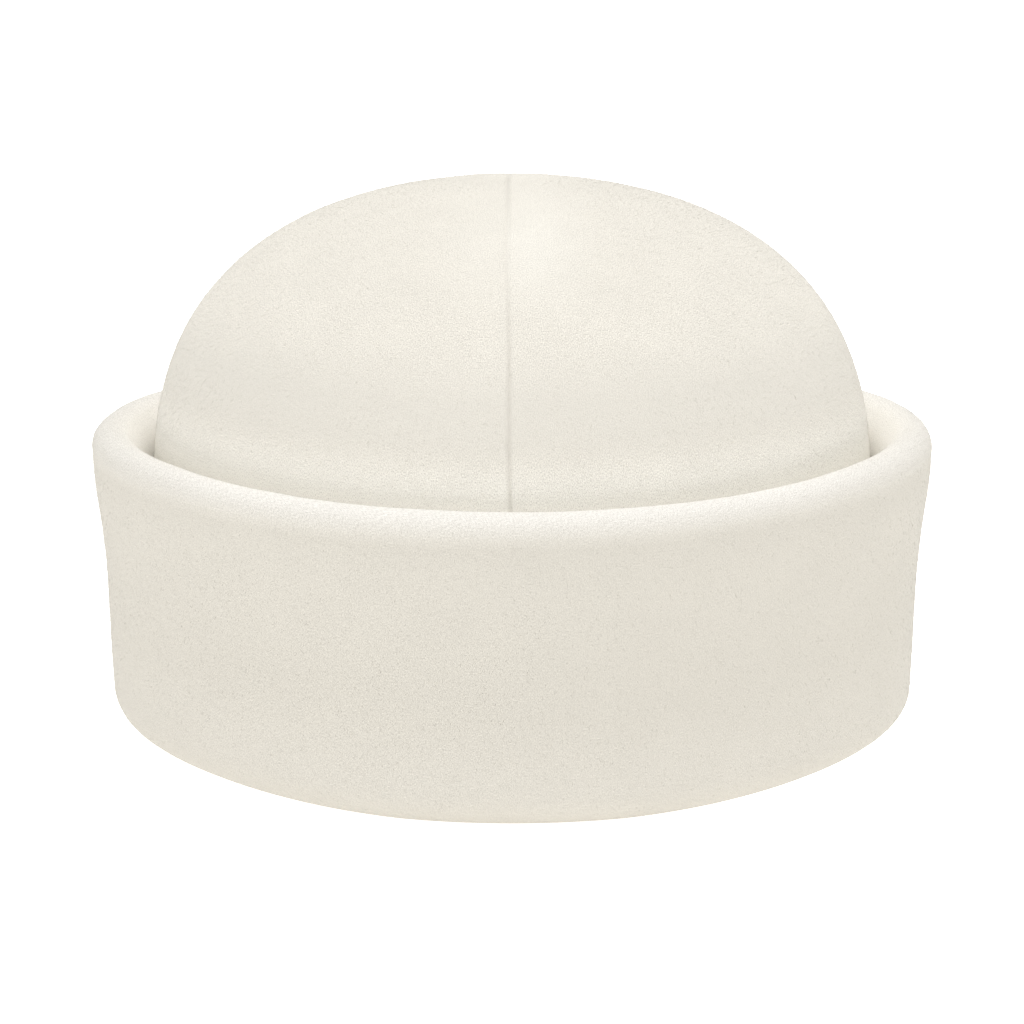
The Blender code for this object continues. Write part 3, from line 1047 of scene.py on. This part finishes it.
class CAP_OT_set_stage(bpy.types.Operator):
    """Sets a pale floor, an even surround, five soft lamps and the camera"""

    bl_idname = "cap.set_stage"
    bl_label = "Set Stage"

    def execute(self, context):
        scene = context.scene
        look = scene.studio_look
        bm = bmesh.new()
        bmesh.ops.create_circle(bm, cap_ends=True, segments=64, radius=7.0)
        mesh = bpy.data.meshes.new("studio_floor")
        bm.to_mesh(mesh)
        bm.free()
        floor = bpy.data.objects.new("studio_floor", mesh)
        paper = bpy.data.materials.new("white_paper")
        paper.use_nodes = True
        shader = paper.node_tree.nodes["Principled BSDF"]
        shader.inputs["Base Color"].default_value = (0.95, 0.95, 0.95, 1.0)
        shader.inputs["Roughness"].default_value = 1.0
        shader.inputs["Specular IOR Level"].default_value = 0.0
        shader.inputs["Emission Color"].default_value = (1.0, 1.0, 1.0, 1.0)
        shader.inputs["Emission Strength"].default_value = look.floor_glow
        mesh.materials.append(paper)
        scene.collection.objects.link(floor)

        world = bpy.data.worlds.new("surround")
        world.use_nodes = True
        sky = world.node_tree.nodes["Background"]
        sky.inputs["Color"].default_value = (1.0, 1.0, 1.0, 1.0)
        sky.inputs["Strength"].default_value = look.surround
        scene.world = world

        soft_lamp("overhead", (0.0, 0.0, 1.7), 1.6, look.overhead_power)
        soft_lamp("upper_right", (0.9, -0.3, 1.4), 0.9, look.right_power)
        soft_lamp("low_left", (-1.4, -0.5, 0.6), 0.9, look.left_power)
        soft_lamp("front", (0.0, -1.3, 1.2), 1.0, look.front_power)
        soft_lamp("behind", (0.0, 1.2, 1.2), 1.0, look.front_power)

        view = bpy.data.cameras.new("view")
        view.lens = look.focal_length
        view.sensor_width = 36.0
        view.clip_start = 0.05
        view.clip_end = 50.0
        camera = bpy.data.objects.new("view", view)
        aim = Vector((0, 0, look.aim_height))
        back = Vector((0, -math.cos(look.elevation), math.sin(look.elevation)))
        camera.location = aim + back * look.distance
        camera.rotation_euler = (-back).to_track_quat("-Z", "Y").to_euler()
        scene.collection.objects.link(camera)
        scene.camera = camera
        scene.view_settings.view_transform = "Standard"
        return {"FINISHED"}


class CAP_PT_cap(bpy.types.Panel):
    """Lists the cap's settings and the buttons for its steps"""

    bl_idname = "CAP_PT_cap"
    bl_label = "Docker Cap"
    bl_space_type = "VIEW_3D"
    bl_region_type = "UI"
    bl_category = "Cap"

    def draw(self, context):
        layout = self.layout
        for settings in (context.scene.cap_sizes, context.scene.wool_finish, context.scene.studio_look):
            box = layout.box()
            for name in settings.__annotations__:
                box.prop(settings, name)
        for operator in STEPS:
            layout.operator(operator.bl_idname)


STEPS = (
    CAP_OT_make_crown, CAP_OT_make_cuff, CAP_OT_comb_nap, CAP_OT_sew, CAP_OT_declare_felt, CAP_OT_set_stage)
SETTINGS = (CapSizes, WoolFinish, StudioLook)


def register():
    for kind in (*SETTINGS, *STEPS, CAP_PT_cap):
        bpy.utils.register_class(kind)
    bpy.types.Scene.cap_sizes = PointerProperty(type=CapSizes)
    bpy.types.Scene.wool_finish = PointerProperty(type=WoolFinish)
    bpy.types.Scene.studio_look = PointerProperty(type=StudioLook)


def unregister():
    del bpy.types.Scene.studio_look
    del bpy.types.Scene.wool_finish
    del bpy.types.Scene.cap_sizes
    for kind in reversed((*SETTINGS, *STEPS, CAP_PT_cap)):
        bpy.utils.unregister_class(kind)


def main():
    """Makes the cap and its stage."""
    register()
    bpy.ops.cap.make_crown()
    bpy.ops.cap.make_cuff()
    bpy.ops.cap.comb_nap()
    bpy.ops.cap.sew()
    bpy.ops.cap.declare_felt()
    bpy.ops.cap.set_stage()


if __name__ == "__main__":
    main()
